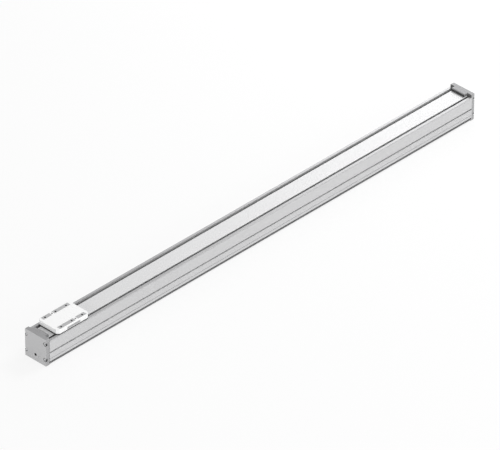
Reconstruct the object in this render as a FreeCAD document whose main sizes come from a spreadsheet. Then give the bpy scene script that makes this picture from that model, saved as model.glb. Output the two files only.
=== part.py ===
import FreeCAD, Part
import os
import Sketcher

# Linear guide axis: a slide on a rail inside a long channel profile, under a fixed cover.
# X runs along the axis, Z points up, and the origin is at the middle of the underside.
# Lengths are in millimetres. Near is the end at -X, front is the side at -Y.

SIZES = {
    # profile
    "profile_length": 1690,
    "profile_width": 86,
    "profile_height": 80.5,
    "channel_width": 68,
    "channel_depth": 51,
    "skin": 2.8,
    "top_edge": 1.0,
    "base_edge": 5.2,
    "side_slot_height": 41.6,
    "side_slot_mouth": 5.6,
    "side_slot_room": 8.6,
    "side_slot_lip": 1.8,
    "side_slot_depth": 6.2,
    "scribe_height": 21.6,
    "scribe_width": 0.9,
    "scribe_depth": 1.2,
    "edge_line_drop": 1.6,
    "edge_line_width": 0.6,
    "clamp_groove_low": 6.2,
    "clamp_groove_mouth": 6.8,
    "clamp_groove_hook": 2.4,
    "clamp_groove_lip": 2.0,
    "clamp_groove_depth": 8.0,
    "base_slot_offset": 24,
    "base_slot_mouth": 8.2,
    "base_slot_room": 14,
    "base_slot_lip": 3.0,
    "base_slot_depth": 9.5,
    "rail_bed": 9.0,
    "middle_web": 6.0,
    "corner_post": 12.0,
    "screw_channel_slit": 2.4,
    # end plates
    "plate_side_inset": 2,
    "plate_rise": 8.5,
    "plate_thickness": 13,
    "plate_corner": 1.5,
    "plate_edge": 0.8,
    "corner_screw_offset": 36.7,
    "corner_screw_low": 20.8,
    "corner_screw_drop": 8.2,
    "counterbore_radius": 6.0,
    "counterbore_depth": 5.6,
    "port_height": 21.5,
    "port_radius": 4.25,
    "vent_offset": 13,
    "vent_height": 19.4,
    "vent_radius": 1.2,
    "vent_depth": 4.0,
    # cover between the grooves
    "cover_width": 51,
    "cover_drop": 1.0,
    "cover_thickness": 2.5,
    "cover_rib": 2.0,
    "cover_rib_height": 7.0,
    "cover_rib_inset": 3.5,
    "cover_edge_thickness": 1.4,
    "cover_edge_taper": 3.0,
    "cover_edge": 0.4,
    "cover_end_gap": 0.5,
    "clamp_width": 49,
    "clamp_reach": 12,
    "clamp_round": 3.0,
    "pad_thickness": 2.0,
    "pad_edge_gap": 0.4,
    "seat_gap": 0.2,
    "seat_height": 8.5,
    "clamp_screw_offset": 12,
    "seat_screw_offset": 4.5,
    "seat_screw_height": 4.0,
    # guide rail
    "rail_width": 15,
    "rail_height": 13,
    "rail_waist": 11.5,
    "rail_foot_height": 2.6,
    "rail_head_height": 3.5,
    "rail_flank": 1.2,
    "rail_edge": 0.6,
    "rail_end_gap": 1.0,
    "rail_seat_depth": 1.5,
    "rail_seat_gap": 0.05,
    "rail_pitch": 60,
    "rail_end_margin": 35,
    # bearing blocks
    "block_height": 24,
    "block_width": 34,
    "block_length": 40,
    "block_spacing": 85,
    "block_foot_gap": 4.5,
    "block_edge": 1.5,
    "block_hole_pitch": 26,
    "running_gap": 0.3,
    "block_cap_length": 8.5,
    "block_cap_inset": 0.5,
    "nipple_drop": 6.0,
    "nipple_radius": 1.75,
    "nipple_length": 6.0,
    "nipple_neck_radius": 1.05,
    "nipple_foot_length": 2.2,
    "nipple_head_length": 1.8,
    # carriage bridge and slide
    "bridge_length": 150,
    "bridge_width": 54,
    "bridge_thickness": 16,
    "bridge_relief_width": 14,
    "bridge_relief_depth": 2.0,
    "slide_length": 122,
    "slide_width": 80,
    "slide_thickness": 13.5,
    "slide_lift": 2.0,
    "slide_corner": 7.5,
    "slide_edge": 1.0,
    "leg_length": 106,
    "leg_thickness": 5.0,
    "leg_overlap": 14.0,
    "leg_corner": 6.0,
    "leg_screw_pitch": 40,
    "leg_screw_height": 8.5,
    "recess_offset": 31.5,
    "recess_width": 13,
    "recess_depth": 0.6,
    "recess_length": 102,
    "island_length": 9,
    "centring_offset": 14,
    "centring_radius": 2.5,
    "centring_depth": 5.0,
    "hole_pitch": 40,
    "hole_radius": 3.0,
    "hole_depth": 11,
    "side_cover_length": 50,
    "side_cover_height": 7.5,
    "side_cover_low": 0.8,
    "side_cover_thickness": 1.5,
    "side_pocket_depth": 2.0,
    "side_cover_gap": 0.1,
    "wiper_thickness": 3.0,
    "wiper_reach": 1.2,
    "wiper_gap": 0.3,
    "wiper_side_gap": 0.7,
    "wiper_tongue": 7.5,
    # end stops
    "buffer_length": 19,
    "buffer_radius": 7,
    "buffer_offset": 16,
    "stud_radius": 2.3,
    "stud_length": 8.0,
    "stop_reserve": 1.0,
    # screws: large ones at the corners and legs, small ones everywhere else
    "large_screw_radius": 2.5,
    "large_head_radius": 4.25,
    "large_head_height": 5.0,
    "large_screw_length": 22,
    "large_key": 4.0,
    "small_screw_radius": 2.0,
    "small_head_radius": 3.5,
    "small_head_height": 4.0,
    "small_key": 3.0,
    "small_counterbore_radius": 3.75,
    "small_counterbore_depth": 4.4,
    "block_screw_grip": 6.0,
    "rail_screw_grip": 7.0,
    "clamp_screw_grip": 5.5,
    "seat_screw_grip": 6.5,
    "leg_head_radius": 4.4,
    "leg_head_height": 2.4,
    "leg_counterbore_radius": 4.5,
    "leg_counterbore_depth": 2.5,
    "leg_screw_grip": 8.0,
    "hole_fit": 0.1,
    "overshoot": 1.0,
}

doc = FreeCAD.newDocument("linear_guide_axis")
sheet = doc.addObject("Spreadsheet::Sheet", "size")
for row, (alias, value) in enumerate(SIZES.items(), start=1):
    sheet.set("A%d" % row, alias)
    sheet.set("B%d" % row, str(value))
    sheet.setAlias("B%d" % row, alias)
doc.recompute()

# Levels and places that several pieces share, written as formulas of the sheet
HALF_LENGTH = "(size.profile_length / 2)"
HALF_WIDTH = "(size.profile_width / 2)"
HALF_CHANNEL = "(size.channel_width / 2)"
FLOOR = "(size.profile_height - size.channel_depth)"
RAIL_BASE = "(" + FLOOR + " - size.rail_seat_depth)"
BLOCK_TOP = "(" + RAIL_BASE + " + size.block_height)"
PLATE_TOP = "(size.profile_height + size.plate_rise)"
COVER_TOP = "(size.profile_height - size.cover_drop)"
COVER_INSIDE = "(" + COVER_TOP + " - size.cover_thickness)"
CORNER_SCREW_HIGH = "(size.profile_height - size.corner_screw_drop)"
SEAT_BASE = "(" + COVER_INSIDE + " - size.seat_height)"
SLIDE_BASE = "(size.profile_height + size.slide_lift)"
STOP_ROOM = "(size.buffer_length + size.stop_reserve)"
CARRIAGE_X = "(" + STOP_ROOM + " + size.bridge_length / 2 - size.profile_length / 2)"
BUFFER_LEVEL = "(" + BLOCK_TOP + " + size.bridge_thickness / 2)"

AXIS_TURN = {
    "x": FreeCAD.Rotation(FreeCAD.Vector(0, 1, 0), 90),
    "-x": FreeCAD.Rotation(FreeCAD.Vector(0, 1, 0), -90),
    "y": FreeCAD.Rotation(FreeCAD.Vector(1, 0, 0), -90),
    "-y": FreeCAD.Rotation(FreeCAD.Vector(1, 0, 0), 90),
    "z": FreeCAD.Rotation(),
    "-z": FreeCAD.Rotation(FreeCAD.Vector(1, 0, 0), 180),
    "half turn": FreeCAD.Rotation(FreeCAD.Vector(0, 0, 1), 180),
}

nodes = []


# Place an object: a fixed turn, and a position bound to the sheet
def put(item, spot, turn="z"):
    item.Placement = FreeCAD.Placement(FreeCAD.Vector(), AXIS_TURN[turn])
    for letter, formula in zip("xyz", spot):
        item.setExpression(".Placement.Base." + letter, formula)
    return item


# Give a finished piece its name and keep it for export
def keep(item, name):
    item.Label = name
    nodes.append(item)
    return item


def box(name, length, width, height, spot):
    item = doc.addObject("Part::Box", name)
    item.setExpression("Length", length)
    item.setExpression("Width", width)
    item.setExpression("Height", height)
    return put(item, spot)


# A cylinder that starts at the spot and runs the way that the axis name says
def rod(name, radius, length, spot=("0", "0", "0"), along="z"):
    item = doc.addObject("Part::Cylinder", name)
    item.setExpression("Radius", radius)
    item.setExpression("Height", length)
    return put(item, spot, along)


# A many-sided stand-in for a cylinder, for the many small screws and holes that nobody sees
def peg(name, radius, length, spot=("0", "0", "0"), along="z", sides=8):
    item = doc.addObject("Part::Prism", name)
    item.Polygon = sides
    item.setExpression("Circumradius", radius)
    item.setExpression("Height", length)
    return put(item, spot, along)


def fuse(name, shapes):
    item = doc.addObject("Part::MultiFuse", name)
    item.Shapes = shapes
    return item


# Pieces that keep their own solids but share one name or one place
def together(name, pieces):
    item = doc.addObject("Part::Compound", name)
    item.Links = pieces
    return item


def cut(name, base, tools):
    item = doc.addObject("Part::Cut", name)
    item.Base = base
    item.Tool = tools[0] if len(tools) == 1 else fuse(name + "_tools", tools)
    return item


# Copies of one piece at several spots, as a group of separate solids
def group(name, pattern_piece, spots, turn="z"):
    copies = []
    for spot in spots:
        copy = doc.addObject("App::Link", name + "_copy")
        copy.LinkedObject = pattern_piece
        copy.LinkTransform = True
        copies.append(put(copy, spot, turn))
    return together(name, copies)


def plane_of(body, role):
    return next(plane for plane in body.Origin.OriginFeatures if plane.Role == role)


def sketch_on(body, role, name, offset="0"):
    sketch = body.newObject("Sketcher::SketchObject", name)
    sketch.AttachmentSupport = (plane_of(body, role), [""])
    sketch.MapMode = "FlatFace"
    sketch.setExpression(".AttachmentOffset.Base.z", offset)
    return sketch


# A closed outline whose corners are bound to the sheet, one (across, up) pair for each corner.
# The guessed corners only start the sketch off; the sheet then moves every one of them.
def outline(sketch, corners):
    first = sketch.GeometryCount
    count = len(corners)
    guess = [FreeCAD.Vector(1 + step, 1 + step * step, 0) for step in range(count)]
    for step in range(count):
        sketch.addGeometry(Part.LineSegment(guess[step], guess[(step + 1) % count]))
    rules = []
    for step in range(count):
        rules.append(Sketcher.Constraint("Coincident", first + step, 2, first + (step + 1) % count, 1))
    for step in range(count):
        rules.append(Sketcher.Constraint("DistanceX", -1, 1, first + step, 1, guess[step].x))
        rules.append(Sketcher.Constraint("DistanceY", -1, 1, first + step, 1, guess[step].y))
    start = sketch.ConstraintCount + count
    sketch.addConstraint(rules)
    for step, (across, up) in enumerate(corners):
        sketch.setExpression("Constraints[%d]" % (start + 2 * step), across)
        sketch.setExpression("Constraints[%d]" % (start + 2 * step + 1), up)


# A bar along X with a section that is the same on both sides of the middle plane
def bar(name, corners, length, start, windows=()):
    body = doc.addObject("PartDesign::Body", name)
    sketch = sketch_on(body, "YZ_Plane", name + "_section", start)
    outline(sketch, corners)
    for window in windows:
        outline(sketch, window)
    pad = body.newObject("PartDesign::Pad", name + "_pad")
    pad.Profile = sketch
    pad.setExpression("Length", length)
    other_side = body.newObject("PartDesign::Mirrored", name + "_both_sides")
    other_side.Originals = [pad]
    other_side.MirrorPlane = (plane_of(body, "XZ_Plane"), [""])
    other_side.Refine = True
    body.Tip = other_side
    return body


def rectangle(low_across, high_across, low_up, high_up):
    return [(low_across, low_up), (high_across, low_up), (high_across, high_up), (low_across, high_up)]


# Edges of a recomputed shape that lie in one plane, by name, for a chamfer or a fillet
def edges_in_plane(shape, axis, level):
    found = []
    for number, edge in enumerate(shape.Edges, start=1):
        ends = [edge.BoundBox.getPoint(corner) for corner in (0, 6)]
        if all(abs(getattr(end, axis) - level) < 1e-4 for end in ends):
            found.append("Edge%d" % number)
    return found


# A socket head screw: the head stands on the origin and the shank points down
def socket_screw(name, sides, head_radius, head_height, shank_radius, shank_length, key):
    head = peg(name + "_head", head_radius, head_height, sides=sides)
    foot = ("0", "0", "-" + shank_length)
    shank_end = shank_length + " + size.overshoot"
    shank = peg(name + "_shank", shank_radius, shank_end, foot, sides=min(sides, 8))
    middle = ("0", "0", head_height + " / 2")
    socket = peg(name + "_socket", key + " / sqrt(3)", head_height, middle, sides=6)
    return cut(name, fuse(name + "_blank", [head, shank]), [socket])


# The hole for such a screw, with its counterbore, in the same position as the screw
def screw_hole(name, shape, bore_radius, bore_depth, counterbore_radius, counterbore_depth, **facets):
    foot = ("0", "0", "-" + bore_depth)
    bore = peg(name + "_bore", bore_radius, bore_depth + " + size.overshoot", foot, **facets)
    mouth = shape(name + "_mouth", counterbore_radius, counterbore_depth, **facets)
    return fuse(name, [bore, mouth])


def corner_spots(across, low, high, along="0"):
    return [(along, sign + across, level) for level in (low, high) for sign in ("-", "")]


SMALL_BORE = "(size.small_screw_radius + size.hole_fit)"
LARGE_BORE = "(size.large_screw_radius + size.hole_fit)"


# Profile

def base_slot_corners():
    left = "size.base_slot_offset - size.base_slot_mouth / 2"
    right = "size.base_slot_offset + size.base_slot_mouth / 2"
    room_left = "size.base_slot_offset - size.base_slot_room / 2"
    room_right = "size.base_slot_offset + size.base_slot_room / 2"
    return [
        (left, "0"),
        (left, "size.base_slot_lip"),
        (room_left, "size.base_slot_lip"),
        (room_left, "size.base_slot_depth"),
        (room_right, "size.base_slot_depth"),
        (room_right, "size.base_slot_lip"),
        (right, "size.base_slot_lip"),
        (right, "0"),
    ]


def clamp_groove_corners():
    deep = HALF_WIDTH + " - size.clamp_groove_depth"
    lip = HALF_WIDTH + " - size.clamp_groove_lip"
    mouth_top = "size.clamp_groove_low + size.clamp_groove_mouth"
    hook_top = mouth_top + " + size.clamp_groove_hook"
    return [
        (HALF_WIDTH, "size.clamp_groove_low"),
        (deep, "size.clamp_groove_low"),
        (deep, hook_top),
        (lip, hook_top),
        (lip, mouth_top),
        (HALF_WIDTH, mouth_top),
    ]


def side_slot_corners():
    lip = HALF_WIDTH + " - size.side_slot_lip"
    deep = HALF_WIDTH + " - size.side_slot_depth"
    corners = []
    for sign in (" - ", " + "):
        mouth = "size.side_slot_height" + sign + "size.side_slot_mouth / 2"
        room = "size.side_slot_height" + sign + "size.side_slot_room / 2"
        side = [(HALF_WIDTH, mouth), (lip, mouth), (lip, room), (deep, room)]
        corners += side if sign == " - " else side[::-1]
    return corners


def profile_section():
    scribe_low = "size.scribe_height - size.scribe_width / 2"
    scribe_high = "size.scribe_height + size.scribe_width / 2"
    line_low = "size.profile_height - size.edge_line_drop - size.edge_line_width"
    line_high = "size.profile_height - size.edge_line_drop"
    line_floor = HALF_WIDTH + " - size.scribe_depth"
    slit_low = CORNER_SCREW_HIGH + " - size.screw_channel_slit / 2"
    slit_high = CORNER_SCREW_HIGH + " + size.screw_channel_slit / 2"
    seat_side = "size.rail_width / 2 + size.rail_seat_gap"
    corners = [("0", "0")]
    corners += base_slot_corners()
    corners += [(HALF_WIDTH + " - size.base_edge", "0"), (HALF_WIDTH, "size.base_edge")]
    corners += clamp_groove_corners()
    corners += [
        (HALF_WIDTH, scribe_low),
        (line_floor, scribe_low),
        (line_floor, scribe_high),
        (HALF_WIDTH, scribe_high),
    ]
    corners += side_slot_corners()
    corners += [
        (HALF_WIDTH, line_low),
        (line_floor, line_low),
        (line_floor, line_high),
        (HALF_WIDTH, line_high),
        (HALF_WIDTH, "size.profile_height - size.top_edge"),
        (HALF_WIDTH + " - size.top_edge", "size.profile_height"),
        (HALF_CHANNEL, "size.profile_height"),
        (HALF_CHANNEL, slit_high),
        ("size.corner_screw_offset", slit_high),
        ("size.corner_screw_offset", slit_low),
        (HALF_CHANNEL, slit_low),
        (HALF_CHANNEL, FLOOR),
        (seat_side, FLOOR),
        (seat_side, RAIL_BASE),
        ("0", RAIL_BASE),
    ]
    return corners


# Closed chambers of one half: beside the web, over the base slot, and two in the wall
def profile_chambers():
    slot_left = "size.base_slot_offset - size.base_slot_room / 2"
    post_side = HALF_WIDTH + " - size.corner_post"
    wall_low = HALF_CHANNEL + " + size.skin"
    wall_high = HALF_WIDTH + " - size.skin"
    slot_low = "size.side_slot_height - size.side_slot_room / 2"
    slot_high = "size.side_slot_height + size.side_slot_room / 2"
    post_low = "size.corner_screw_low + size.corner_post / 2"
    post_high = CORNER_SCREW_HIGH + " - size.corner_post / 2"
    bed_low = RAIL_BASE + " - size.rail_bed"
    return [
        rectangle("size.middle_web / 2", slot_left + " - size.skin", "size.skin", bed_low),
        rectangle(slot_left, post_side, "size.base_slot_depth + size.skin", FLOOR + " - size.skin"),
        rectangle(wall_low, wall_high, post_low, slot_low + " - size.skin"),
        rectangle(wall_low, wall_high, slot_high + " + size.skin", post_high),
    ]


def make_profile():
    length = "size.profile_length"
    bare = bar("profile_bar", profile_section(), length, "-" + HALF_LENGTH, profile_chambers())
    channel = peg("screw_channel", LARGE_BORE, length, along="x")
    spots = corner_spots(
        "size.corner_screw_offset", "size.corner_screw_low", CORNER_SCREW_HIGH, "-" + HALF_LENGTH
    )
    tap = peg("rail_tap", SMALL_BORE, "size.rail_screw_grip + size.overshoot", along="-z", sides=6)
    taps = group("rail_taps", tap, [(x, "0", RAIL_BASE) for x in rail_screw_places()])
    return keep(cut("profile", bare, [group("screw_channels", channel, spots), taps]), "profile")


# Places of the rail screws along X, at the pitch and centred on the rail
def rail_screw_places():
    room = SIZES["profile_length"] - 2 * SIZES["rail_end_margin"]
    gaps = int(room // SIZES["rail_pitch"])
    return ["size.rail_pitch * (%d - %d / 2)" % (step, gaps) for step in range(gaps + 1)]


# End plates: drawn with the outer face at X = 0 and the inner face at the plate's thickness

def end_plate_tools(end):
    large_hole = screw_hole(
        end + "_corner_hole",
        rod,
        LARGE_BORE,
        "size.plate_thickness",
        "size.counterbore_radius",
        "size.counterbore_depth + size.overshoot",
    )
    corner_holes = group(
        end + "_corner_holes",
        large_hole,
        corner_spots(
            "size.corner_screw_offset",
            "size.corner_screw_low",
            CORNER_SCREW_HIGH,
            "size.counterbore_depth",
        ),
        "-x",
    )
    port = rod(
        end + "_port", "size.port_radius", "size.plate_thickness", ("0", "0", "size.port_height"), "x"
    )
    vent = rod(
        end + "_vent",
        "size.vent_radius",
        "size.vent_depth",
        ("0", "-size.vent_offset", "size.vent_height"),
        "x",
    )
    seat_level = SEAT_BASE + " + size.seat_screw_height"
    seat_tap = peg(end + "_seat_tap", SMALL_BORE, "size.seat_screw_grip + size.overshoot", along="-x")
    seat_taps = group(
        end + "_seat_taps",
        seat_tap,
        [("size.plate_thickness", sign + "size.seat_screw_offset", seat_level) for sign in ("-", "")],
    )
    stud_hole = peg(end + "_stud_hole", LARGE_BORE, "size.stud_length + size.overshoot", along="-x")
    stud_holes = group(
        end + "_stud_holes",
        stud_hole,
        [("size.plate_thickness", sign + "size.buffer_offset", BUFFER_LEVEL) for sign in ("-", "")],
    )
    return [corner_holes, port, vent, seat_taps, stud_holes]


def make_end_plate(end, spot, turn):
    half = "(size.profile_width / 2 - size.plate_side_inset)"
    inset = half + " - size.plate_corner"
    corners = [
        ("0", "0"),
        (inset, "0"),
        (half, "size.plate_corner"),
        (half, PLATE_TOP + " - size.plate_corner"),
        (inset, PLATE_TOP),
        ("0", PLATE_TOP),
    ]
    body = bar(end + "_plate_blank", corners, "size.plate_thickness", "0")
    blank = body.Tip
    doc.recompute()
    edge = body.newObject("PartDesign::Chamfer", end + "_plate_edge")
    edge.Base = (blank, edges_in_plane(blank.Shape, "x", 0))
    edge.setExpression("Size", "size.plate_edge")
    body.Tip = edge
    plate = cut(end + "_end_plate", body, end_plate_tools(end))
    return keep(put(plate, spot, turn), end + "_end_plate")


# Everything at one end stands on the inner face of its end plate and points into the axis

def make_cover_seat(end, spot, turn):
    half = "(size.cover_width / 2 - size.cover_rib_inset - size.cover_rib - size.seat_gap)"
    blank = box(
        end + "_seat_blank",
        "size.clamp_reach",
        "2 * " + half,
        "size.seat_height",
        ("0", "-" + half, SEAT_BASE),
    )
    upright = screw_hole(
        end + "_upright_hole",
        peg,
        SMALL_BORE,
        "size.seat_height",
        "size.small_counterbore_radius",
        "size.small_counterbore_depth + size.overshoot",
    )
    uprights = group(
        end + "_upright_holes",
        upright,
        clamp_screw_spots(),
        "-z",
    )
    level = screw_hole(
        end + "_level_hole",
        peg,
        SMALL_BORE,
        "size.clamp_reach",
        "size.small_counterbore_radius",
        "size.small_counterbore_depth + size.overshoot",
    )
    levels = group(end + "_level_holes", level, seat_screw_spots(), "x")
    seat = cut(end + "_cover_seat", blank, [uprights, levels])
    return keep(put(seat, spot, turn), end + "_cover_seat")


# Under sides of the heads: the upright screws that pull the clamp down, and the level ones
def clamp_screw_spots():
    height = SEAT_BASE + " + size.small_counterbore_depth"
    return [("size.clamp_reach / 2", sign + "size.clamp_screw_offset", height) for sign in ("-", "")]


def seat_screw_spots():
    along = "size.clamp_reach - size.small_counterbore_depth"
    height = SEAT_BASE + " + size.seat_screw_height"
    return [(along, sign + "size.seat_screw_offset", height) for sign in ("-", "")]


def make_strip_clamp(end, spot, turn):
    body = doc.addObject("PartDesign::Body", end + "_clamp_blank")
    sketch = sketch_on(body, "XZ_Plane", end + "_clamp_side", "-size.clamp_width / 2")
    outline(sketch, rectangle("0", "size.clamp_reach", COVER_TOP, PLATE_TOP))
    pad = body.newObject("PartDesign::Pad", end + "_clamp_solid")
    pad.Profile = sketch
    pad.setExpression("Length", "size.clamp_width")
    doc.recompute()
    nose = body.newObject("PartDesign::Fillet", end + "_clamp_nose")
    top_edges = edges_in_plane(pad.Shape, "z", SIZES["profile_height"] + SIZES["plate_rise"])
    inner_edges = edges_in_plane(pad.Shape, "x", SIZES["clamp_reach"])
    nose.Base = (pad, [name for name in top_edges if name in inner_edges])
    nose.setExpression("Radius", "size.clamp_round")
    body.Tip = nose
    tap = peg(end + "_clamp_tap", SMALL_BORE, "size.clamp_screw_grip + size.overshoot")
    taps = group(
        end + "_clamp_taps",
        tap,
        [("size.clamp_reach / 2", sign + "size.clamp_screw_offset", COVER_TOP) for sign in ("-", "")],
    )
    clamp = cut(end + "_strip_clamp", body, [taps])
    return keep(put(clamp, spot, turn), end + "_strip_clamp")


# Rubber pad that covers the clamp's inner face
def make_pad(end, spot, turn):
    side = "(size.clamp_width / 2 - size.pad_edge_gap)"
    pad = box(
        end + "_pad_block",
        "size.pad_thickness",
        "2 * " + side,
        PLATE_TOP + " - size.clamp_round - size.pad_edge_gap - " + COVER_TOP,
        ("size.clamp_reach", "-" + side, COVER_TOP + " + size.pad_edge_gap"),
    )
    return keep(put(together(end + "_clamp_pad_placed", [pad]), spot, turn), end + "_clamp_pad")


# Rubber stop: a plain round block on a stud
def make_buffer(name, side, spot_x, turn):
    rubber = peg(name + "_rubber", "size.buffer_radius", "size.buffer_length", along="x", sides=16)
    start = ("-size.stud_length", "0", "0")
    stud = peg(name + "_stud", "size.stud_radius", "size.stud_length + size.overshoot", start, "x")
    stop = fuse(name + "_stop", [rubber, stud])
    return keep(put(stop, (spot_x, side + "size.buffer_offset", BUFFER_LEVEL), turn), name)


def make_end(end):
    sign = "-" if end == "near" else ""
    turn = "z" if end == "near" else "half turn"
    face = (sign + HALF_LENGTH, "0", "0")
    outer = (sign + "(" + HALF_LENGTH + " + size.plate_thickness)", "0", "0")
    make_end_plate(end, outer, turn)
    make_cover_seat(end, face, turn)
    make_strip_clamp(end, face, turn)
    make_pad(end, face, turn)
    make_buffer(end + "_buffer_front", "-", sign + HALF_LENGTH, turn)
    make_buffer(end + "_buffer_rear", "", sign + HALF_LENGTH, turn)

    corner_screw = socket_screw(
        end + "_corner_screw",
        24,
        "size.large_head_radius",
        "size.large_head_height",
        "size.large_screw_radius",
        "size.large_screw_length",
        "size.large_key",
    )
    corner_screws = group(
        end + "_end_plate_screws",
        corner_screw,
        corner_spots(
            "size.corner_screw_offset",
            "size.corner_screw_low",
            CORNER_SCREW_HIGH,
            "size.counterbore_depth",
        ),
        "-x",
    )
    keep(put(corner_screws, outer, turn), end + "_end_plate_screws")

    through = "(size.clamp_reach - size.small_counterbore_depth)"
    seat_screw = small_screw(end + "_seat_screw", through, "size.seat_screw_grip")
    seat_screws = group(end + "_seat_screws", seat_screw, seat_screw_spots(), "x")
    keep(put(seat_screws, face, turn), end + "_seat_screws")

    through = "(size.seat_height - size.small_counterbore_depth + size.cover_thickness)"
    clamp_screw = small_screw(end + "_clamp_screw", through, "size.clamp_screw_grip")
    clamp_screws = group(end + "_clamp_screws", clamp_screw, clamp_screw_spots(), "-z")
    keep(put(clamp_screws, face, turn), end + "_clamp_screws")


def small_screw(name, through, grip, sides=8):
    return socket_screw(
        name,
        sides,
        "size.small_head_radius",
        "size.small_head_height",
        "size.small_screw_radius",
        "(" + through + " + " + grip + ")",
        "size.small_key",
    )


# Cover strip: a thin plate with two ribs below and two screw holes at each end
def make_cover():
    half = "(size.cover_width / 2)"
    rib = "(size.cover_width / 2 - size.cover_rib_inset)"
    low = COVER_TOP + " - size.cover_rib_height"
    corners = [
        ("0", COVER_INSIDE),
        (rib + " - size.cover_rib", COVER_INSIDE),
        (rib + " - size.cover_rib", low),
        (rib, low),
        (rib, COVER_INSIDE),
        (half + " - size.cover_edge_taper", COVER_INSIDE),
        (half, COVER_TOP + " - size.cover_edge_thickness"),
        (half, COVER_TOP + " - size.cover_edge"),
        (half + " - size.cover_edge", COVER_TOP),
        ("0", COVER_TOP),
    ]
    length = "(size.profile_length - 2 * size.cover_end_gap)"
    bare = bar("cover_bar", corners, length, "-" + length + " / 2")
    hole = peg("cover_hole", SMALL_BORE, "size.cover_thickness + 2 * size.overshoot")
    across = "(" + HALF_LENGTH + " - size.clamp_reach / 2)"
    spots = [
        (end + across, side + "size.clamp_screw_offset", COVER_INSIDE + " - size.overshoot")
        for end in ("-", "")
        for side in ("-", "")
    ]
    return keep(cut("cover_strip", bare, [group("cover_holes", hole, spots)]), "cover_strip")


# Guide rail, drawn with its foot at Z = 0
def make_rail():
    half = "(size.rail_width / 2)"
    waist = "size.rail_waist / 2"
    head_low = "size.rail_height - size.rail_head_height"
    corners = [
        ("0", "0"),
        (half, "0"),
        (half, "size.rail_foot_height"),
        (waist, "size.rail_foot_height + size.rail_flank"),
        (waist, head_low + " - size.rail_flank"),
        (half, head_low),
        (half, "size.rail_height - size.rail_edge"),
        (half + " - size.rail_edge", "size.rail_height"),
        ("0", "size.rail_height"),
    ]
    length = "(size.profile_length - 2 * size.rail_end_gap)"
    bare = bar("rail_bar", corners, length, "-" + length + " / 2")
    hole = screw_hole(
        "rail_hole",
        peg,
        SMALL_BORE,
        "size.rail_height",
        "size.small_counterbore_radius",
        "size.small_counterbore_depth + size.overshoot",
        sides=6,
    )
    head_level = "size.rail_height - size.small_counterbore_depth"
    holes = group("rail_holes", hole, [(x, "0", head_level) for x in rail_screw_places()])
    rail = cut("guide_rail", bare, [holes])
    keep(put(rail, ("0", "0", RAIL_BASE)), "guide_rail")

    screw = small_screw("rail_screw", "(" + head_level + ")", "size.rail_screw_grip", sides=6)
    screws = group("guide_rail_screws", screw, [(x, "0", head_level) for x in rail_screw_places()])
    return keep(put(screws, ("0", "0", RAIL_BASE)), "guide_rail_screws")


# Bearing block section, which holds the rail's head from both sides; inset makes the end caps smaller
def block_section(inset):
    outer = "(size.block_width / 2 - " + inset + ")"
    gap = "(size.running_gap + " + inset + ")"
    low = "size.block_foot_gap + " + inset
    top = "size.block_height - " + inset
    head_side = "size.rail_width / 2 + " + gap
    waist_side = "size.rail_waist / 2 + " + gap
    head_low = "size.rail_height - size.rail_head_height - size.running_gap"
    return [
        (waist_side, low),
        (outer, low),
        (outer, top + " - size.block_edge"),
        (outer + " - size.block_edge", top),
        ("0", top),
        ("0", "size.rail_height + " + gap),
        (head_side, "size.rail_height + " + gap),
        (head_side, head_low),
        (waist_side, head_low + " - size.rail_flank"),
    ]


def make_block(name, sign):
    centre = CARRIAGE_X + sign + " size.block_spacing / 2"
    place = (centre, "0", RAIL_BASE)
    half_length = "(size.block_length / 2)"
    bare = bar(name + "_bar", block_section("0"), "size.block_length", "-" + half_length)
    tap = peg(name + "_tap", SMALL_BORE, "size.block_screw_grip + size.overshoot", along="-z")
    half_pitch = "size.block_hole_pitch / 2"
    spots = [(x + half_pitch, y + half_pitch, "size.block_height") for x in ("-", "") for y in ("-", "")]
    block = cut(name, bare, [group(name + "_taps", tap, spots)])
    keep(put(block, place), name)

    outward = "-" if sign == " -" else ""
    for cap, way in (("_outer_cap", outward), ("_inner_cap", "-" if outward == "" else "")):
        start = half_length if way == "" else "-(" + half_length + " + size.block_cap_length)"
        piece = bar(name + cap, block_section("size.block_cap_inset"), "size.block_cap_length", start)
        keep(put(piece, place), name + cap)


# Grease nipple: a wide foot and a wide head on one thin neck
def make_nipple(name, sign):
    neck = peg(name + "_neck", "size.nipple_neck_radius", "size.nipple_length", along="x")
    foot = peg(name + "_foot", "size.nipple_radius", "size.nipple_foot_length", along="x")
    start = ("size.nipple_length - size.nipple_head_length", "0", "0")
    head = peg(name + "_head", "size.nipple_radius", "size.nipple_head_length", start, "x")
    nipple = fuse(name + "_solid", [neck, foot, head])
    reach = "(size.block_spacing / 2 + size.block_length / 2 + size.block_cap_length)"
    place = (CARRIAGE_X + sign + " " + reach, "0", BLOCK_TOP + " - size.nipple_drop")
    return keep(put(nipple, place, "half turn" if sign == " -" else "z"), name)


# Bridge over both blocks, drawn with its underside at Z = 0 and its middle at the origin

def block_screw_spots():
    spots = []
    for block in ("-", ""):
        for x in (" - ", " + "):
            for y in ("-", ""):
                along = block + "size.block_spacing / 2" + x + "size.block_hole_pitch / 2"
                height = "size.bridge_thickness - size.bridge_relief_depth - size.small_counterbore_depth"
                spots.append((along, y + "size.block_hole_pitch / 2", height))
    return spots


def leg_screw_spots(side, depth):
    across = side + "(size.bridge_width / 2 + " + depth + ")"
    return [("size.leg_screw_pitch * %d" % step, across, "size.leg_screw_height") for step in (-1, 0, 1)]


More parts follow.
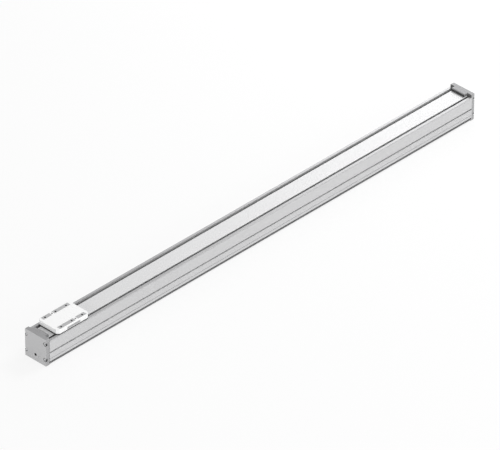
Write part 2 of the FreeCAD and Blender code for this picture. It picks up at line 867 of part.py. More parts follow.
def make_bridge():
    half = "(size.bridge_width / 2)"
    low = "size.bridge_thickness - size.bridge_relief_depth"
    shoulder = "(size.block_hole_pitch / 2 + size.small_counterbore_radius + size.overshoot)"
    corners = [
        ("0", "0"),
        (half, "0"),
        (half, "size.bridge_thickness"),
        (shoulder, "size.bridge_thickness"),
        (shoulder, low),
        ("size.bridge_relief_width / 2", low),
        ("size.bridge_relief_width / 2", "size.bridge_thickness"),
        ("0", "size.bridge_thickness"),
    ]
    bare = bar("bridge_bar", corners, "size.bridge_length", "-size.bridge_length / 2")
    hole = screw_hole(
        "bridge_hole",
        peg,
        SMALL_BORE,
        "size.bridge_thickness",
        "size.small_counterbore_radius",
        "size.small_counterbore_depth + size.overshoot",
    )
    tools = [group("bridge_holes", hole, block_screw_spots())]
    for side, along in (("-", "y"), ("", "-y")):
        tap = peg("leg_tap" + along, LARGE_BORE, "size.leg_screw_grip + size.overshoot", along=along)
        tools.append(group("leg_taps" + along, tap, leg_screw_spots(side, "0")))
    place = (CARRIAGE_X, "0", BLOCK_TOP)
    keep(put(cut("carriage_bridge", bare, tools), place), "carriage_bridge")

    through = "(size.bridge_thickness - size.bridge_relief_depth - size.small_counterbore_depth)"
    screw = small_screw("block_screw", through, "size.block_screw_grip")
    keep(put(group("block_screws", screw, block_screw_spots()), place), "block_screws")


# Low-head screws that hold the legs, three on each side
def make_bridge_screws():
    through = "(size.leg_thickness - size.leg_counterbore_depth)"
    screw = socket_screw(
        "bridge_screw",
        8,
        "size.leg_head_radius",
        "size.leg_head_height",
        "size.large_screw_radius",
        "(" + through + " + size.leg_screw_grip)",
        "size.small_key",
    )
    front = group("front_leg_screws", screw, leg_screw_spots("-", through), "-y")
    rear = group("rear_leg_screws", screw, leg_screw_spots("", through), "y")
    screws = together("bridge_screws", [front, rear])
    return keep(put(screws, (CARRIAGE_X, "0", BLOCK_TOP)), "bridge_screws")


# Slide: the plate and its two legs in one piece, drawn with the plate's underside at Z = 0

def slide_plate():
    body = doc.addObject("PartDesign::Body", "slide_blank")
    sketch = sketch_on(body, "XY_Plane", "slide_outline")
    end = "(size.slide_length / 2)"
    side = "(size.slide_width / 2)"
    end_inset = "(size.slide_length / 2 - size.slide_corner)"
    side_inset = "(size.slide_width / 2 - size.slide_corner)"
    outline(
        sketch,
        [
            ("-" + end, "-" + side_inset),
            ("-" + end_inset, "-" + side),
            (end_inset, "-" + side),
            (end, "-" + side_inset),
            (end, side_inset),
            (end_inset, side),
            ("-" + end_inset, side),
            ("-" + end, side_inset),
        ],
    )
    pad = body.newObject("PartDesign::Pad", "slide_pad")
    pad.Profile = sketch
    pad.setExpression("Length", "size.slide_thickness")
    doc.recompute()
    edge = body.newObject("PartDesign::Chamfer", "slide_top_edge")
    edge.Base = (pad, edges_in_plane(pad.Shape, "z", SIZES["slide_thickness"]))
    edge.setExpression("Size", "size.slide_edge")
    body.Tip = edge
    return body


# One leg, from the bridge's side up into the plate, with its lower corners cut off
def slide_leg(side):
    drop = "(" + SLIDE_BASE + " - " + BLOCK_TOP + " - size.bridge_thickness + size.leg_overlap)"
    body = doc.addObject("PartDesign::Body", "slide_leg" + side)
    sketch = sketch_on(body, "XZ_Plane", "leg_side", "size.leg_thickness / -2")
    end = "(size.leg_length / 2)"
    inset = "(size.leg_length / 2 - size.leg_corner)"
    outline(
        sketch,
        [
            ("-" + inset, "-" + drop),
            (inset, "-" + drop),
            (end, "-" + drop + " + size.leg_corner"),
            (end, "size.overshoot"),
            ("-" + end, "size.overshoot"),
            ("-" + end, "-" + drop + " + size.leg_corner"),
        ],
    )
    pad = body.newObject("PartDesign::Pad", "leg_pad")
    pad.Profile = sketch
    pad.setExpression("Length", "size.leg_thickness")
    body.Tip = pad
    across = side + "(size.bridge_width / 2 + size.leg_thickness / 2)"
    return put(body, ("0", across, "0"))


# The centring bores stand off the middle, to the far end in front and to the near end behind
def centring_place(side):
    return "size.centring_offset" if side == "-" else "-size.centring_offset"


# Two shallow recesses on one side of the top, parted by the island of the centring bore
def recess_tools(side):
    level = "size.slide_thickness - size.recess_depth"
    across = side + "size.recess_offset - size.recess_width / 2"
    island = centring_place(side)
    half = "(size.recess_length / 2)"
    low_end = island + " - size.island_length / 2"
    high_start = island + " + size.island_length / 2"
    return [
        box(
            "low_recess" + side,
            low_end + " + " + half,
            "size.recess_width",
            "size.recess_depth + size.overshoot",
            ("-" + half, across, level),
        ),
        box(
            "high_recess" + side,
            half + " - (" + high_start + ")",
            "size.recess_width",
            "size.recess_depth + size.overshoot",
            (high_start, across, level),
        ),
    ]


def slide_tools():
    tools = []
    for side, along in (("-", "-y"), ("", "y")):
        tools += recess_tools(side)
        threaded = rod("slide_hole" + side, "size.hole_radius", "size.hole_depth", along="-z")
        row = [
            ("size.hole_pitch * %d" % step, side + "size.recess_offset", "size.slide_thickness")
            for step in (-1, 0, 1)
        ]
        tools.append(group("slide_holes" + side, threaded, row))
        tools.append(
            rod(
                "centring_bore" + side,
                "size.centring_radius",
                "size.centring_depth",
                (centring_place(side), side + "size.recess_offset", "size.slide_thickness"),
                "-z",
            )
        )
        pocket_length = "(size.side_cover_length + 2 * size.side_cover_gap)"
        pocket_height = "size.side_cover_height + 2 * size.side_cover_gap"
        low = "size.side_cover_low - size.side_cover_gap"
        start = "size.slide_width / 2 - size.side_pocket_depth"
        if side == "-":
            start = "-size.slide_width / 2 - size.overshoot"
        tools.append(
            box(
                "side_pocket" + side,
                pocket_length,
                "size.side_pocket_depth + size.overshoot",
                pocket_height,
                ("-" + pocket_length + " / 2", start, low),
            )
        )
        sink = screw_hole(
            "leg_sink" + side,
            peg,
            LARGE_BORE,
            "size.leg_thickness",
            "size.leg_counterbore_radius",
            "size.leg_counterbore_depth + size.overshoot",
        )
        seat = "(size.leg_thickness - size.leg_counterbore_depth)"
        sinks = group("leg_sinks" + side, sink, leg_screw_spots(side, seat), along)
        rise = BLOCK_TOP + " - " + SLIDE_BASE
        tools.append(put(together("leg_sinks_placed" + side, [sinks]), ("0", "0", rise)))
    return tools


def make_slide():
    solid = fuse("slide_solid", [slide_plate(), slide_leg("-"), slide_leg("")])
    slide = cut("slide_body", solid, slide_tools())
    keep(put(slide, (CARRIAGE_X, "0", SLIDE_BASE)), "slide_body")
    for name, side in (("slide_cover_front", "-"), ("slide_cover_rear", "")):
        floor = "(size.slide_width / 2 - size.side_pocket_depth)"
        start = "-" + floor + " - size.side_cover_thickness" if side == "-" else floor
        cover = box(
            name,
            "size.side_cover_length",
            "size.side_cover_thickness",
            "size.side_cover_height",
            (CARRIAGE_X + " - size.side_cover_length / 2", start, SLIDE_BASE + " + size.side_cover_low"),
        )
        keep(cover, name)


# Rubber strips under the slide's ends, a little proud of them, with a tongue down each groove
def make_wiper(name, sign):
    groove_side = "(size.cover_width / 2 + size.wiper_side_gap)"
    wall_side = "(" + HALF_CHANNEL + " - size.wiper_side_gap)"
    bottom = COVER_TOP + " + size.wiper_gap"
    tongue = COVER_TOP + " - size.wiper_tongue"
    corners = [
        ("0", bottom),
        (groove_side, bottom),
        (groove_side, tongue),
        (wall_side, tongue),
        (wall_side, SLIDE_BASE),
        ("0", SLIDE_BASE),
    ]
    outer = "(size.slide_length / 2 + size.wiper_reach)"
    start = "-" + outer if sign == "-" else outer + " - size.wiper_thickness"
    strip = bar(name, corners, "size.wiper_thickness", start)
    return keep(put(strip, (CARRIAGE_X, "0", "0")), name)


make_profile()
make_cover()
make_rail()
make_end("near")
make_end("far")
make_block("near_block", " -")
make_block("far_block", " +")
make_nipple("near_lube_nipple", " -")
make_nipple("far_lube_nipple", " +")
make_bridge()
make_bridge_screws()
make_slide()
make_wiper("near_wiper", "-")
make_wiper("far_wiper", "")
doc.recompute()

# Nothing is written unless every object is sound
for item in doc.Objects:
    if "Invalid" in item.State or "Error" in item.State:
        raise RuntimeError("%s (%s) failed: %s" % (item.Name, item.Label, item.State))
for node in nodes:
    if node.Shape.isNull() or not node.Shape.isValid():
        raise RuntimeError("%s has no valid shape" % node.Label)

os.makedirs("parts", exist_ok=True)
for node in nodes:
    node.Shape.exportStep("parts/%s.step" % node.Label)
print("%d pieces written" % len(nodes))
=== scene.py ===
import math
import bpy
from mathutils import Matrix, Vector


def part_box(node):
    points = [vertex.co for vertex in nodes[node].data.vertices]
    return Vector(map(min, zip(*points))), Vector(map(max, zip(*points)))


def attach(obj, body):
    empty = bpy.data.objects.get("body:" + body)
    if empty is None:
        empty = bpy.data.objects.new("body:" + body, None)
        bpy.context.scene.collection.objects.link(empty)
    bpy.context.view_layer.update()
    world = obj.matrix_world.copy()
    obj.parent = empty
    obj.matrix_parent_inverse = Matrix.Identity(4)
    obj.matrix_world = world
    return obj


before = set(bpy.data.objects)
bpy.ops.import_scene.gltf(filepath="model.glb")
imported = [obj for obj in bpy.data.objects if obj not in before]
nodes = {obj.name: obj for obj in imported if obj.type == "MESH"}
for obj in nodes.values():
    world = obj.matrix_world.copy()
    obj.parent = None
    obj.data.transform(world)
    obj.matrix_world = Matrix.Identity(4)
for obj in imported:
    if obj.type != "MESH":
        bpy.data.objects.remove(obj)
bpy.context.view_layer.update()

print("frame loaded:", len(nodes), "nodes")


def deselectAll():
    if bpy.context.mode != "OBJECT":
        bpy.ops.object.mode_set(mode="OBJECT")
    bpy.ops.object.select_all(action="DESELECT")


# sets a socket to a number, or links it to another node's output
def plug(tree, socket, value):
    if isinstance(value, (int, float)):
        socket.default_value = value
    else:
        tree.links.new(value, socket)


def operationNode(tree, kind, operation, values):
    node = tree.nodes.new(kind)
    node.operation = operation
    for socket, value in zip(node.inputs, values):
        plug(tree, socket, value)
    return node.outputs[0]


def mathNode(tree, operation, *values):
    return operationNode(tree, "ShaderNodeMath", operation, values)


def vectorNode(tree, operation, *values):
    return operationNode(tree, "ShaderNodeVectorMath", operation, values)


deselectAll()

# camera: a long lens at the photograph's viewing angle
camera = {
    "place": (-11.6728, -11.2383, 11.1124),
    "right": (0.69693, -0.71713, 0.00552),
    "ahead": (0.5941, 0.5730, -0.5645),
    "lens": 505.98,
    "sensor": 36,
    "nearest": 1,
    "farthest": 200,
}


def makeCamera(s):
    ahead = Vector(s["ahead"]).normalized()
    right = (Vector(s["right"]) - ahead * Vector(s["right"]).dot(ahead)).normalized()
    up = right.cross(ahead)
    turn = Matrix((right, up, -ahead)).transposed().to_4x4()
    bpy.ops.object.camera_add()
    cam = bpy.context.object
    cam.name = "camera"
    cam.matrix_world = Matrix.Translation(Vector(s["place"])) @ turn
    cam.data.lens = s["lens"]
    cam.data.sensor_width = s["sensor"]
    cam.data.clip_start = s["nearest"]
    cam.data.clip_end = s["farthest"]
    bpy.context.scene.camera = cam


makeCamera(camera)
print("camera placed")

# room: pale floor, even sky, a soft lamp above the far end, fills in front and before the near
# end, and a low key lamp beyond the far end that the metal catches
room = {
    "white": (1, 1, 1, 1),
    "floorSize": 60,
    "floorColour": (0.88, 0.88, 0.88, 1),
    "backdropShare": 0.8,
    "backdropStrength": 1,
    "sky": 0.62,
    "lamps": {
        "overheadLamp": {
            "place": (2.6, -0.5, 3.2), "aim": (0.1, 0.0, 0.05), "size": 1.6, "power": 62,
        },
        "frontLamp": {
            "place": (0.2, -4.0, 1.3), "aim": (0.2, 0.0, 0.05), "size": 2.5, "power": 44,
        },
        "nearFill": {
            "place": (-4.4, -1.4, 1.0), "aim": (-0.85, 0.0, 0.05), "size": 1.8, "power": 46,
        },
        "farKey": {
            "place": (2.05, 1.15, 1.28), "aim": (0.7, 0.0, 0.08), "size": 1.2, "power": 10,
        },
    },
}


# one where a ray should see the white backdrop: straight from the lens, off metal or through glass
def backdropRays(tree):
    path = tree.nodes.new("ShaderNodeLightPath")
    first = mathNode(tree, "MAXIMUM", path.outputs["Is Camera Ray"], path.outputs["Is Glossy Ray"])
    return mathNode(tree, "MAXIMUM", first, path.outputs["Is Transmission Ray"])


# sends the first shader to the output, giving way to the second as share goes to one
def mixToOutput(tree, share, first, second, output):
    mix = tree.nodes.new("ShaderNodeMixShader")
    for socket, value in zip(mix.inputs, (share, first.outputs[0], second.outputs[0])):
        plug(tree, socket, value)
    out = tree.nodes.new(output)
    plug(tree, out.inputs["Surface"], mix.outputs[0])


def makeSky(s):
    world = bpy.data.worlds.new("studioSky")
    bpy.context.scene.world = world
    world.use_nodes = True
    tree = world.node_tree
    tree.nodes.clear()
    light = tree.nodes.new("ShaderNodeBackground")
    light.inputs["Color"].default_value = s["white"]
    light.inputs["Strength"].default_value = s["sky"]
    seen = tree.nodes.new("ShaderNodeBackground")
    seen.inputs["Color"].default_value = s["white"]
    seen.inputs["Strength"].default_value = s["backdropStrength"]
    mixToOutput(tree, backdropRays(tree), light, seen, "ShaderNodeOutputWorld")


def makeFloor(s):
    bpy.ops.mesh.primitive_plane_add(size=s["floorSize"], location=(0, 0, 0))
    floor = bpy.context.object
    floor.name = "floor"
    mat = bpy.data.materials.new("paleFloor")
    mat.use_nodes = True
    tree = mat.node_tree
    tree.nodes.clear()
    matt = tree.nodes.new("ShaderNodeBsdfDiffuse")
    matt.inputs["Color"].default_value = s["floorColour"]
    glow = tree.nodes.new("ShaderNodeEmission")
    glow.inputs["Color"].default_value = s["white"]
    share = mathNode(tree, "MULTIPLY", backdropRays(tree), s["backdropShare"])
    mixToOutput(tree, share, matt, glow, "ShaderNodeOutputMaterial")
    floor.data.materials.append(mat)


def makeLamps(s):
    for name, lamp in s["lamps"].items():
        bpy.ops.object.light_add(type="AREA", location=lamp["place"])
        light = bpy.context.object
        light.name = name
        light.data.shape = "SQUARE"
        light.data.size = lamp["size"]
        light.data.energy = lamp["power"]
        beam = Vector(lamp["aim"]) - Vector(lamp["place"])
        light.rotation_euler = beam.to_track_quat("-Z", "Y").to_euler()


bpy.context.scene.view_settings.view_transform = "Standard"
makeSky(room)
makeFloor(room)
makeLamps(room)
print("room and lamps placed")


def newGroup(name, inputs, outputs):
    group = bpy.data.node_groups.new(name, "ShaderNodeTree")
    for label, kind in inputs.items():
        group.interface.new_socket(label, in_out="INPUT", socket_type=kind)
    for label, kind in outputs.items():
        group.interface.new_socket(label, in_out="OUTPUT", socket_type=kind)
    return group, group.nodes.new("NodeGroupInput"), group.nodes.new("NodeGroupOutput")


# a surface group: what it takes beside its own pattern's input, and what it gives
def newSurface(name, pattern):
    inputs = {
        **pattern, "Colour": "NodeSocketColor",
        "Shade": "NodeSocketFloat", "Roughness": "NodeSocketFloat",
    }
    outputs = {
        "Colour": "NodeSocketColor", "Roughness": "NodeSocketFloat", "Height": "NodeSocketFloat",
    }
    return newGroup(name, inputs, outputs)


def noiseNode(group, where, scale, detail):
    noise = group.nodes.new("ShaderNodeTexNoise")
    plug(group, noise.inputs["Vector"], where)
    plug(group, noise.inputs["Scale"], scale)
    noise.inputs["Detail"].default_value = detail
    return noise


# lightens and roughens a surface by a value that varies about zero, and passes on its height
def varySurface(group, gin, gout, variation, spread, height):
    shade = mathNode(group, "MULTIPLY", variation, gin.outputs["Shade"])
    tint = group.nodes.new("ShaderNodeVectorMath")
    tint.operation = "SCALE"
    plug(group, tint.inputs[0], gin.outputs["Colour"])
    plug(group, tint.inputs["Scale"], mathNode(group, "ADD", shade, 1))
    rough = mathNode(group, "MULTIPLY", variation, spread)
    rough = mathNode(group, "ADD", rough, gin.outputs["Roughness"])
    plug(group, gout.inputs["Colour"], tint.outputs[0])
    plug(group, gout.inputs["Roughness"], rough)
    plug(group, gout.inputs["Height"], height)


# fine lines drawn along one direction, as on extruded or brushed metal
drawnGrain = {
    "directions": {"x": (4, 900, 900), "y": (900, 4, 900)},
    "lineScale": 1, "lineDetail": 4, "lineRoughness": 0.6,
    "broadScale": 9, "broadDetail": 3, "broadShare": 0.5,
    "noiseMiddle": 0.5, "spread": 0.08,
}


def makeGrainGroup(s):
    group, gin, gout = newSurface("drawnGrain", {"Stretch": "NodeSocketVector"})
    place = group.nodes.new("ShaderNodeTexCoord").outputs["Object"]
    scaled = vectorNode(group, "MULTIPLY", place, gin.outputs["Stretch"])
    lines = noiseNode(group, scaled, s["lineScale"], s["lineDetail"])
    lines.inputs["Roughness"].default_value = s["lineRoughness"]
    broad = noiseNode(group, place, s["broadScale"], s["broadDetail"])
    centred = mathNode(group, "SUBTRACT", lines.outputs["Fac"], s["noiseMiddle"])
    mottle = mathNode(group, "SUBTRACT", broad.outputs["Fac"], s["noiseMiddle"])
    mottle = mathNode(group, "MULTIPLY", mottle, s["broadShare"])
    both = mathNode(group, "ADD", centred, mottle)
    varySurface(group, gin, gout, both, s["spread"], lines.outputs["Fac"])
    return group


# fine cloudy unevenness, for cast, moulded and bead-blasted surfaces
cloudyMottle = {
    "scale": 70, "detail": 5,
    "speckShare": 30, "speckDetail": 2,
    "noiseMiddle": 0.5, "spread": 0.1,
}


def makeMottleGroup(s):
    group, gin, gout = newSurface("mottle", {"Scale": "NodeSocketFloat"})
    place = group.nodes.new("ShaderNodeTexCoord").outputs["Object"]
    noise = noiseNode(group, place, gin.outputs["Scale"], s["detail"])
    speckScale = mathNode(group, "MULTIPLY", gin.outputs["Scale"], s["speckShare"])
    speck = noiseNode(group, place, speckScale, s["speckDetail"])
    centred = mathNode(group, "SUBTRACT", noise.outputs["Fac"], s["noiseMiddle"])
    varySurface(group, gin, gout, centred, s["spread"], speck.outputs["Fac"])
    return group


# one inside a box of the object's own coordinates, the same on both sides and at both ends
def makeZoneGroup():
    inputs = {"Low": "NodeSocketVector", "High": "NodeSocketVector"}
    group, gin, gout = newGroup("zone", inputs, {"Inside": "NodeSocketFloat"})
    place = group.nodes.new("ShaderNodeTexCoord").outputs["Object"]
    folded = vectorNode(group, "ABSOLUTE", place)
    above = vectorNode(group, "SUBTRACT", folded, gin.outputs["Low"])
    below = vectorNode(group, "SUBTRACT", gin.outputs["High"], folded)
    parts = group.nodes.new("ShaderNodeSeparateXYZ")
    plug(group, parts.inputs[0], vectorNode(group, "MINIMUM", above, below))
    least = mathNode(group, "MINIMUM", parts.outputs["X"], parts.outputs["Y"])
    least = mathNode(group, "MINIMUM", least, parts.outputs["Z"])
    plug(group, gout.inputs["Inside"], mathNode(group, "GREATER_THAN", least, 0))
    return group


grainGroup = makeGrainGroup(drawnGrain)
mottleGroup = makeMottleGroup(cloudyMottle)
zoneGroup = makeZoneGroup()

surfaceBump = {"strength": 0.08, "distance": 0.0002}

# each zone is a box of coordinates in which the colour and the share of metal change
finishes = {
    "drawnProfile": {
        "colour": (0.58, 0.58, 0.585), "metallic": 0.25, "roughness": 0.42,
        "grain": "x", "shade": 0.06,
        "zones": {
            # painted shade: the rail tops, the same drawn metal as the profile's sides, are
            # coloured darker for how the light falls on them
            "railTopsPaintedShade": {
                "low": (0, 0.0335, 0.0799), "high": (1, 0.044, 0.081),
                "colour": (0.375, 0.375, 0.38), "metallic": 0.75,
            },
            # painted light: the insides of the side slots are coloured lighter than the profile,
            # standing in for light reaching into them
            "sideSlotsPaintedLight": {
                "low": (0, 0.0360, 0.0380), "high": (1, 0.0425, 0.0452),
                "colour": (0.75, 0.75, 0.755), "metallic": 0.1,
            },
            # painted shade: the insides of the clamping grooves near the foot are coloured darker,
            # where shade falls in them
            "clampGroovesPaintedShade": {
                "low": (0, 0.0345, 0.0060), "high": (1, 0.0425, 0.0156),
                "colour": (0.40, 0.40, 0.405), "metallic": 0.2,
            },
            # painted shade: the narrow scribed slits along the sides are coloured near black,
            # where shade falls in them
            "scribedLinesPaintedShade": {
                "low": (0, 0.0415, 0.0208), "high": (1, 0.0429, 0.0224),
                "colour": (0.20, 0.20, 0.205), "metallic": 0.2,
            },
        },
    },
    "coverSheet": {
        "colour": (0.68, 0.68, 0.685), "metallic": 0.1, "roughness": 0.42,
        "grain": "x", "shade": 0.03,
        "zones": {
            # painted light: the cover strip's underside and ribs inside the grooves are coloured
            # near white, standing in for light reaching into the grooves
            "undersidePaintedLight": {
                "low": (0, 0.0195, 0.0700), "high": (1, 0.0257, 0.0790),
                "colour": (0.95, 0.95, 0.955), "metallic": 0.0,
            },
        },
    },
    "greyPlate": {
        "colour": (0.29, 0.29, 0.295), "metallic": 0.2, "roughness": 0.5, "shade": 0.05,
        "zones": {
            # painted light: the end plates' side faces are coloured lighter than their tops, for
            # the light falling on the sides
            "sides": {
                "low": (0, 0.0405, 0), "high": (0.859, 0.05, 0.1),
                "colour": (0.37, 0.37, 0.375), "metallic": 0.2,
            },
            # painted light: the end plates' outer end faces are coloured lighter still, for the
            # light falling on them
            "outerFacePaintedLight": {
                "low": (0.8576, 0, 0), "high": (0.859, 0.05, 0.1),
                "colour": (0.48, 0.48, 0.485), "metallic": 0.2,
            },
            # painted shade: the end plates' inner faces, turned away from the light, are coloured
            # near black
            "innerFacePaintedShade": {
                "low": (0.8449, 0, 0), "high": (0.8452, 0.05, 0.1),
                "colour": (0.13, 0.13, 0.13), "metallic": 0.0,
            },
            # painted shade: the lower corner screw counterbores are coloured near black, where
            # shade falls in them
            "lowerCounterboresPaintedShade": {
                "low": (0.8522, 0.0300, 0.0146), "high": (0.8572, 0.0409, 0.0270),
                "colour": (0.05, 0.05, 0.05), "metallic": 0.1,
            },
            # painted shade: the upper corner screw counterbores are coloured near black, where
            # shade falls in them
            "upperCounterboresPaintedShade": {
                "low": (0.8522, 0.0300, 0.0661), "high": (0.8572, 0.0409, 0.0785),
                "colour": (0.05, 0.05, 0.05), "metallic": 0.1,
            },
            # painted shade: the port bore in the end plate is coloured near black, where shade
            # falls in it
            "port": {
                "low": (0.8459, 0, 0.0167), "high": (0.8573, 0.0046, 0.0263),
                "colour": (0.04, 0.04, 0.04), "metallic": 0.0,
            },
        },
    },
    "greyClamp": {
        "colour": (0.29, 0.29, 0.295), "metallic": 0.2, "roughness": 0.5, "shade": 0.05,
    },
    "brightSlide": {
        "colour": (0.93, 0.93, 0.93), "metallic": 0.1, "roughness": 0.45, "shade": 0.02,
        "zones": {
            "recesses": {
                "low": (0, 0.0248, 0.0951), "high": (1, 0.0382, 0.0956),
                "colour": (0.44, 0.44, 0.445), "metallic": 0.3,
            },
            # painted shade: the walls of the slide's mounting holes are coloured near black, where
            # shade falls in them
            "mountingHolesPaintedShade": {
                "low": (0.7, 0.0282, 0.0835), "high": (0.8, 0.0348, 0.0953),
                "colour": (0.03, 0.03, 0.03), "metallic": 0.1,
            },
        },
    },
    "slideInlay": {
        "colour": (0.42, 0.42, 0.425), "metallic": 0.3, "roughness": 0.5, "shade": 0.04,
    },
    "milledBlock": {
        "colour": (0.72, 0.72, 0.73), "metallic": 0.6, "roughness": 0.38,
        "grain": "y", "shade": 0.06,
    },
    "groundSteel": {
        "colour": (0.52, 0.52, 0.53), "metallic": 0.95, "roughness": 0.28,
        "grain": "x", "shade": 0.06,
    },
    "zincScrew": {
        "colour": (0.66, 0.66, 0.67), "metallic": 0.7, "roughness": 0.36, "shade": 0.08,
        "zones": {
            # painted shade: the outer sides of the end plate screw heads are coloured near black,
            # standing in for the shade in their counterbores
            "openSidesPaintedShade": {
                "low": (0.82, 0.0390, 0), "high": (0.8590, 0.05, 0.1),
                "colour": (0.05, 0.05, 0.05), "metallic": 0.2,
            },
        },
    },
    "blackScrew": {
        "colour": (0.08, 0.08, 0.085), "metallic": 0.7, "roughness": 0.4, "shade": 0.1,
    },
    # painted shade: the threads in the slide's holes and the end plate ports are coloured near
    # black, where shade falls in the holes
    "paintedShadeThread": {
        "colour": (0.035, 0.035, 0.036), "metallic": 0.3, "roughness": 0.5, "shade": 0.1,
    },
    "capPlastic": {
        "colour": (0.035, 0.04, 0.045), "metallic": 0.0, "roughness": 0.5, "shade": 0.15,
    },
    # the buffers are black rubber; the clamp pads, wipers and slide side strips are black where
    # the gaps beside them lie in shade, painted shade
    "rubberAndPaintedShade": {
        "colour": (0.03, 0.03, 0.03), "metallic": 0.0, "roughness": 0.75, "shade": 0.2,
    },
    "brassFitting": {
        "colour": (0.62, 0.46, 0.20), "metallic": 0.95, "roughness": 0.3, "shade": 0.06,
    },
}


# the finish's colour and share of metal, changed inside each of its zones
def zoned(tree, s):
    colour = tree.nodes.new("ShaderNodeRGB").outputs[0]
    colour.default_value = (*s["colour"], 1)
    metal = tree.nodes.new("ShaderNodeValue").outputs[0]
    metal.default_value = s["metallic"]
    for zone in s["zones"].values():
        place = tree.nodes.new("ShaderNodeGroup")
        place.node_tree = zoneGroup
        place.inputs["Low"].default_value = zone["low"]
        place.inputs["High"].default_value = zone["high"]
        inside = place.outputs["Inside"]
        mix = tree.nodes.new("ShaderNodeMixRGB")
        plug(tree, mix.inputs["Fac"], inside)
        plug(tree, mix.inputs["Color1"], colour)
        mix.inputs["Color2"].default_value = (*zone["colour"], 1)
        colour = mix.outputs[0]
        change = mathNode(tree, "MULTIPLY", inside, zone["metallic"] - s["metallic"])
        metal = mathNode(tree, "ADD", metal, change)
    return colour, metal


def makeFinish(name, s):
    mat = bpy.data.materials.new(name)
    mat.use_nodes = True
    tree = mat.node_tree
    shader = tree.nodes["Principled BSDF"]
    shader.inputs["Metallic"].default_value = s["metallic"]
    pattern = tree.nodes.new("ShaderNodeGroup")
    if "grain" in s:
        pattern.node_tree = grainGroup
        pattern.inputs["Stretch"].default_value = drawnGrain["directions"][s["grain"]]
    else:
        pattern.node_tree = mottleGroup
        pattern.inputs["Scale"].default_value = cloudyMottle["scale"]
    pattern.inputs["Colour"].default_value = (*s["colour"], 1)
    pattern.inputs["Shade"].default_value = s["shade"]
    pattern.inputs["Roughness"].default_value = s["roughness"]
    if "zones" in s:
        colour, metal = zoned(tree, s)
        plug(tree, pattern.inputs["Colour"], colour)
        plug(tree, shader.inputs["Metallic"], metal)
    plug(tree, shader.inputs["Base Color"], pattern.outputs["Colour"])
    plug(tree, shader.inputs["Roughness"], pattern.outputs["Roughness"])
    bump = tree.nodes.new("ShaderNodeBump")
    bump.inputs["Strength"].default_value = surfaceBump["strength"]
    bump.inputs["Distance"].default_value = surfaceBump["distance"]
    plug(tree, bump.inputs["Height"], pattern.outputs["Height"])
    plug(tree, shader.inputs["Normal"], bump.outputs["Normal"])
    return mat


materials = {name: makeFinish(name, s) for name, s in finishes.items()}

nodeFinish = {
    "drawnProfile": ["profile"],
    "coverSheet": ["cover_strip"],
    "greyPlate": ["near_end_plate", "far_end_plate"],
    "greyClamp": ["near_strip_clamp", "far_strip_clamp"],
    "brightSlide": ["slide_body"],
    "slideInlay": ["slide_cover_front", "slide_cover_rear"],
    "milledBlock": ["carriage_bridge", "near_cover_seat", "far_cover_seat"],
    "groundSteel": ["guide_rail", "near_block", "far_block"],
    "zincScrew": ["near_end_plate_screws", "far_end_plate_screws"],
    "blackScrew": [
        "near_seat_screws", "far_seat_screws", "near_clamp_screws", "far_clamp_screws",
        "guide_rail_screws", "bridge_screws", "block_screws",
    ],
    "capPlastic": [
        "near_block_outer_cap", "near_block_inner_cap",
        "far_block_inner_cap", "far_block_outer_cap",
    ],
    # buffers in black rubber; clamp pads and wipers black where their gaps lie in shade, painted
    # shade
    "rubberAndPaintedShade": [
        "near_buffer_front", "near_buffer_rear", "far_buffer_front", "far_buffer_rear",
        "near_clamp_pad", "far_clamp_pad", "near_wiper", "far_wiper",
    ],
    "brassFitting": ["near_lube_nipple", "far_lube_nipple"],
}


def dressNodes():
    for finish, names in nodeFinish.items():
        for name in names:
            mesh = nodes[name].data
            mesh.materials.clear()
            mesh.materials.append(materials[finish])


dressNodes()
print("finishes on", sum(len(names) for names in nodeFinish.values()), "nodes")


# puts a piece's finish on it and sends it off with its body
def finishPiece(piece, finish, body):
    bpy.ops.object.mode_set(mode="OBJECT")
    piece.data.materials.clear()
    piece.data.materials.append(materials[finish])
    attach(piece, body)


# screw threads, each wound with the screw modifier from one small three-cornered tooth
toothCorners = 3
quarterTurn = math.pi / 2
slideMiddle = sum(corner[0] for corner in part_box("slide_body")) / 2

slideThreads = {
    "tooth": 0.0004, "radius": 0.00302, "pitch": 0.001, "turns": 9, "steps": 24,
    "slideTop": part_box("slide_body")[1][2],
    "depth": 0.0103,
    "rows": (-0.0315, 0.0315),
    "along": (-0.04, 0.0, 0.04),
}

portThreads = {
    "tooth": 0.0004, "radius": 0.00427, "pitch": 0.0009, "turns": 12, "steps": 28,
    "plateFace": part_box("near_end_plate")[0][0],
    "inset": 0.0009,
    "height": 0.0215,
}


# one thread round the Z axis, from the origin up, with the tooth pointing at the axis
def windThread(name, s):
    deselectAll()
    bpy.ops.mesh.primitive_circle_add(vertices=toothCorners, radius=s["tooth"], location=(0, 0, 0))
    thread = bpy.context.object
    thread.name = name
    bpy.ops.object.mode_set(mode="EDIT")
    bpy.ops.mesh.select_all(action="SELECT")
    bpy.ops.transform.rotate(value=quarterTurn, orient_axis="X", orient_type="GLOBAL")
    bpy.ops.transform.rotate(value=-quarterTurn, orient_axis="Y", orient_type="GLOBAL")
    bpy.ops.transform.translate(value=(s["radius"] - s["tooth"] / 2, 0, 0))
    bpy.ops.object.mode_set(mode="OBJECT")
    wind = thread.modifiers.new("wind", "SCREW")
    wind.screw_offset = s["pitch"]
    wind.iterations = s["turns"]
    wind.steps = s["steps"]
    wind.render_steps = s["steps"]
    bpy.ops.object.modifier_apply(modifier=wind.name)
    bpy.ops.object.mode_set(mode="EDIT")
    bpy.ops.mesh.select_all(action="SELECT")
    bpy.ops.mesh.fill_holes(sides=toothCorners)
    bpy.ops.mesh.normals_make_consistent(inside=False)
    return thread


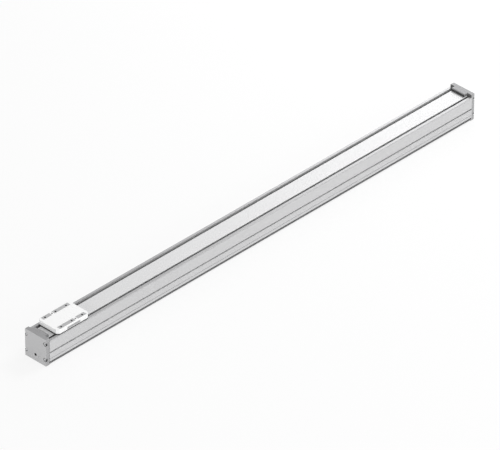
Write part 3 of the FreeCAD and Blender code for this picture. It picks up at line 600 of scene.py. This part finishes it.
def makeSlideThreads(s):
    piece = windThread("slideThreads", s)
    start = s["slideTop"] - s["depth"]
    places = [(slideMiddle + x, y, start) for y in s["rows"] for x in s["along"]]
    bpy.ops.transform.translate(value=places[0])
    for last, place in zip(places, places[1:]):
        step = tuple(b - a for a, b in zip(last, place))
        bpy.ops.mesh.duplicate_move(TRANSFORM_OT_translate={"value": step})
    finishPiece(piece, "paintedShadeThread", "carriage")


def makePortThreads(s):
    piece = windThread("portThreads", s)
    length = s["pitch"] * s["turns"]
    mouth = s["plateFace"] + s["inset"]
    bpy.ops.transform.rotate(
        value=quarterTurn, orient_axis="Y", orient_type="GLOBAL", center_override=(0, 0, 0),
    )
    bpy.ops.transform.translate(value=(mouth + length, 0, s["height"]))
    bpy.ops.mesh.duplicate_move(TRANSFORM_OT_translate={"value": (-2 * mouth - length, 0, 0)})
    finishPiece(piece, "paintedShadeThread", "frame")


makeSlideThreads(slideThreads)
makePortThreads(portThreads)
print("threads wound")

# black strips under the slide's long sides, in the gap above the rails: painted shade for the
# shadow in that gap
sideShadowStrips = {
    "length": 0.110, "width": 0.0034, "inset": 0.0004, "gap": 0.0003,
    "edge": 0.0004, "edgeSteps": 2,
    "sideFace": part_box("slide_body")[1][1],
    "panelFoot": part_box("slide_cover_front")[0][2],
    "panelRise": 0.0008,
    "railTop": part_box("profile")[1][2],
}


def makeSideShadowStrips(s):
    deselectAll()
    low = s["railTop"] + s["gap"]
    high = s["panelFoot"] - s["panelRise"]
    middle = s["sideFace"] - s["inset"] - s["width"] / 2
    bpy.ops.mesh.primitive_cube_add(size=1, location=(0, 0, 0))
    piece = bpy.context.object
    piece.name = "sideShadowStrips"
    bpy.ops.object.mode_set(mode="EDIT")
    bpy.ops.mesh.select_all(action="SELECT")
    bpy.ops.transform.resize(value=(s["length"], s["width"], high - low))
    bpy.ops.mesh.bevel(offset=s["edge"], segments=s["edgeSteps"], affect="EDGES")
    bpy.ops.transform.translate(value=(slideMiddle, -middle, (high + low) / 2))
    bpy.ops.mesh.duplicate_move(TRANSFORM_OT_translate={"value": (0, 2 * middle, 0)})
    finishPiece(piece, "rubberAndPaintedShade", "carriage")


makeSideShadowStrips(sideShadowStrips)
print("side strips in place")
